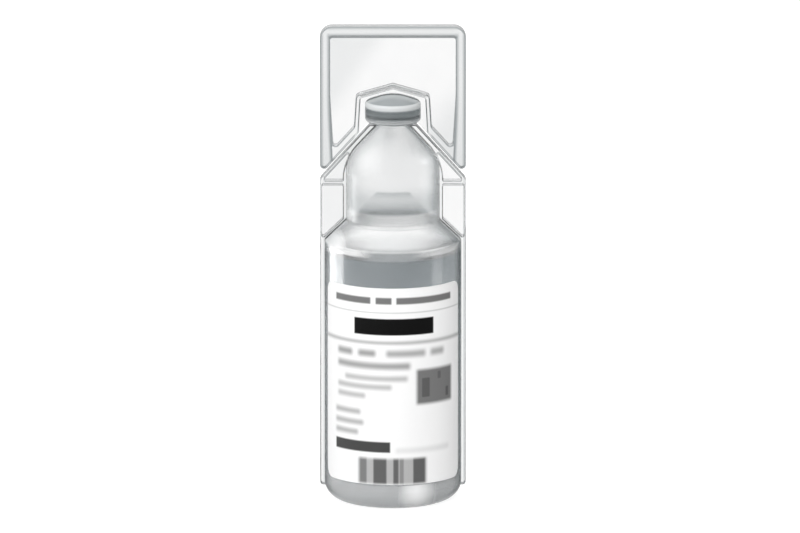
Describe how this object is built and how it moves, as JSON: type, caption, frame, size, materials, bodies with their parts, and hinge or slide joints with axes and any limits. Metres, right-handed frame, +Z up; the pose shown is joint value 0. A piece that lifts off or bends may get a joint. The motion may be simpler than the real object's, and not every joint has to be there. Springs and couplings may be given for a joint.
{
  "type": "plastic ampoule",
  "caption": "Clear plastic ampoule of water with a shouldered body, a domed neck, side fins, a twist-off tab and a front label.",
  "frame": {"origin": "middle of the base, on the surface that the ampoule stands on", "axes": "+Z up along the body's axis, +X along the width of the tab and fins, the label's side faces -Y"},
  "size_m": [0.0216, 0.0205, 0.0715],
  "materials": {
    "ampoule": "gloss, clear",
    "water": "clear liquid",
    "label": "satin paper"
  },
  "bodies": {
    "root": {"ampoule": "ampoule", "water": "water", "label": "label"}
  },
  "joints": []
}
